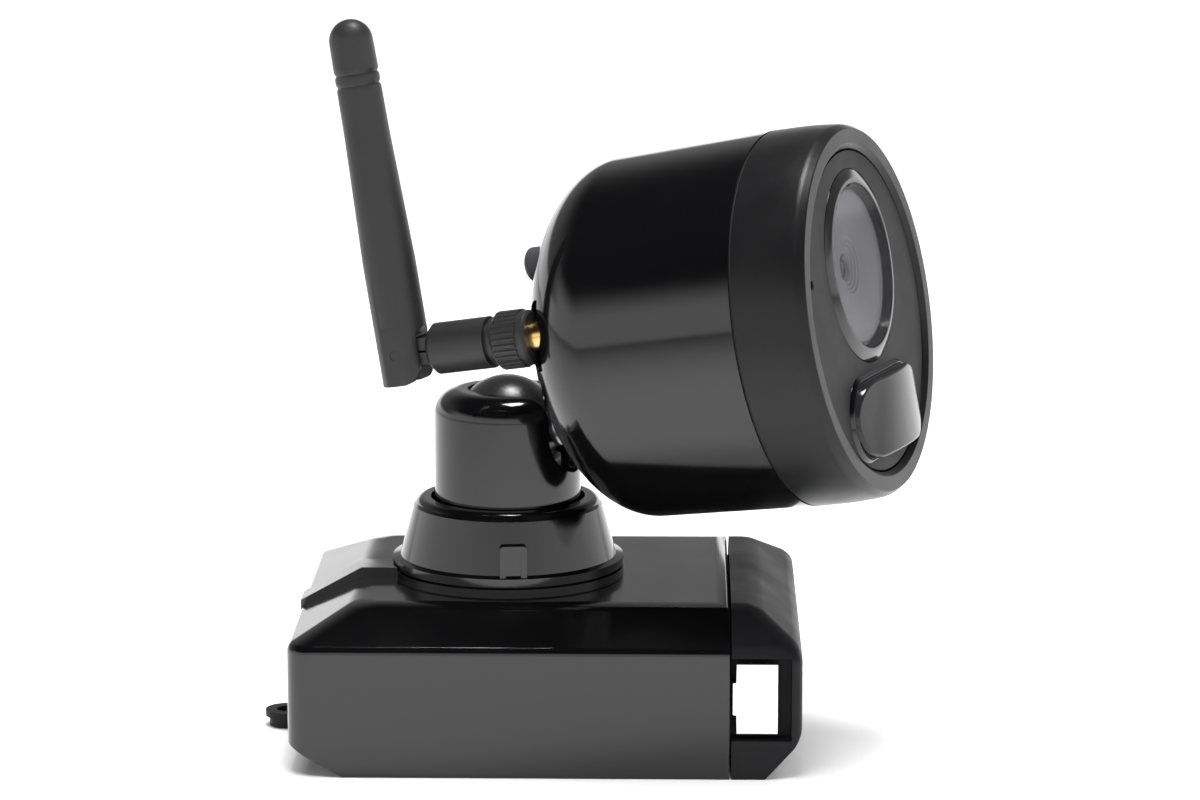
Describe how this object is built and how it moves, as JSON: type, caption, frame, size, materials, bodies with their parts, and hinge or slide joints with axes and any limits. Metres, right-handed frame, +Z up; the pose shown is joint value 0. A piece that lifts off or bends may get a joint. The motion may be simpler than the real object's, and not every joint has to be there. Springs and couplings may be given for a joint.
{
  "type": "security camera",
  "caption": "Battery-powered wireless security camera: a round head with lens and motion sensor on a ball joint and lockable pan post, with a folding whip antenna.",
  "frame": {"origin": "on the pan axis, in the plane of the base's flat underside", "axes": "+Z up along the pan axis, +X towards the battery end cap, -Y towards the base's front edge; the head looks along +X turned 20.84 degrees towards -Y and 10.14 degrees up"},
  "size_m": [0.1411, 0.1096, 0.1517],
  "materials": {
    "gloss_black": "piano-gloss black moulding",
    "satin_black": "satin black with a fine sparkle grain",
    "satin_charcoal": "fine-textured charcoal moulding",
    "face_grey": "satin dark grey",
    "frosted_grey": "frosted stepped grey",
    "lens_glass": "coated clear glass",
    "pir_gloss": "smoked infrared-clear gloss",
    "mesh_black": "dark acoustic mesh",
    "ball_black": "black with a fine rough grain",
    "antenna_black": "matte black fine leather grain",
    "button_rubber": "matte rubber",
    "seal_rubber": "soft black sealing rubber",
    "polished_steel": "bright polished",
    "steel": "plated",
    "brass": "machined",
    "gold_contact": "gold plated",
    "acetal": "natural low-friction moulding",
    "circuit_board": "green solder mask",
    "chip_black": "moulded chip",
    "cell_sleeve": "shrink-sleeved"
  },
  "bodies": {
    "base": {"base_housing": "gloss_black", "collar_seal": "seal_rubber", "friction_washer": "acetal", "mount_plate": "satin_charcoal", "tripod_bush": "brass", "plate_screws": "steel", "contact_board": "circuit_board", "contact_springs": "gold_contact"},
    "battery_pack": {"pack_tray": "satin_charcoal", "pack_cover": "satin_charcoal", "battery_cells": "cell_sleeve", "pack_contacts": "gold_contact", "pack_board": "circuit_board", "end_cap": "satin_charcoal", "pack_gasket": "seal_rubber", "cap_screws": "steel"},
    "front_latch": {"latch_front": "polished_steel"},
    "rear_latch": {"latch_rear": "polished_steel"},
    "collar": {"lock_collar": "gloss_black"},
    "pan_post": {"post": "gloss_black", "ball_cup": "acetal", "cup_springs": "steel", "post_retainer": "acetal", "retainer_screws": "steel"},
    "tilt_ball": {"ball": "ball_black"},
    "head": {"stem": "steel", "stem_nut": "steel", "head_shell": "gloss_black", "bezel": "satin_black", "bezel_seal": "seal_rubber", "face_plate": "face_grey", "microphone": "mesh_black", "lens_ring": "gloss_black", "lens_window": "lens_glass", "lens_baffle": "frosted_grey", "lens_barrel": "satin_black", "lens_element": "lens_glass", "lens_iris": "satin_black", "sensor_board": "circuit_board", "image_sensor": "chip_black", "pir_frame": "satin_black", "pir_lens": "pir_gloss", "pir_sensor": "steel", "pir_board": "circuit_board", "main_board": "circuit_board", "board_chips": "chip_black", "board_pillars": "satin_black", "board_screws": "steel", "pair_switch": "chip_black", "switch_board": "circuit_board", "antenna_socket": "brass", "antenna_nut": "antenna_black"},
    "button": {"pair_button": "button_rubber"},
    "knuckle": {"antenna_knuckle": "antenna_black", "whip_pin": "antenna_black"},
    "whip": {"antenna_whip": "antenna_black"}
  },
  "joints": [
    {"name": "pack_slide", "type": "slide", "parent": "base", "child": "battery_pack", "axis": [1, 0, 0], "range_m": [0, 0.095]},
    {"name": "front_latch_press", "type": "slide", "parent": "battery_pack", "child": "front_latch", "axis": [0, 1, 0], "range_m": [0, 0.0015], "stiffness_N_per_m": 800, "springref_m": -0.0005},
    {"name": "rear_latch_press", "type": "slide", "parent": "battery_pack", "child": "rear_latch", "axis": [0, -1, 0], "range_m": [0, 0.0015], "stiffness_N_per_m": 800, "springref_m": -0.0005},
    {"name": "collar_lock", "type": "hinge", "parent": "base", "child": "collar", "pos_m": [0, 0, 0.04], "axis": [0, 0, 1], "range_deg": [0, 25]},
    {"name": "pan", "type": "hinge", "parent": "base", "child": "pan_post", "pos_m": [0, 0, 0.05], "axis": [0, 0, 1], "range_deg": [-170, 170]},
    {"name": "tilt", "type": "hinge", "parent": "pan_post", "child": "tilt_ball", "pos_m": [0, 0, 0.0636], "axis": [-0.3558, -0.9346, 0], "range_deg": [-12, 25]},
    {"name": "roll", "type": "hinge", "parent": "tilt_ball", "child": "head", "pos_m": [0, 0, 0.0636], "axis": [0.92, -0.3502, 0.1761], "range_deg": [-12, 12]},
    {"name": "button_press", "type": "slide", "parent": "head", "child": "button", "axis": [0.92, -0.3502, 0.1761], "range_m": [0, 0.0008], "stiffness_N_per_m": 600, "springref_m": -0.0004},
    {"name": "antenna_swivel", "type": "hinge", "parent": "head", "child": "knuckle", "pos_m": [-0.00984, -0.02728, 0.08574], "axis": [-0.92, 0.3502, -0.1761], "range_deg": [-90, 90]},
    {"name": "antenna_fold", "type": "hinge", "parent": "knuckle", "child": "whip", "pos_m": [-0.02005, -0.0234, 0.08378], "axis": [-0.3558, -0.9346, 0], "range_deg": [0, 90]}
  ]
}
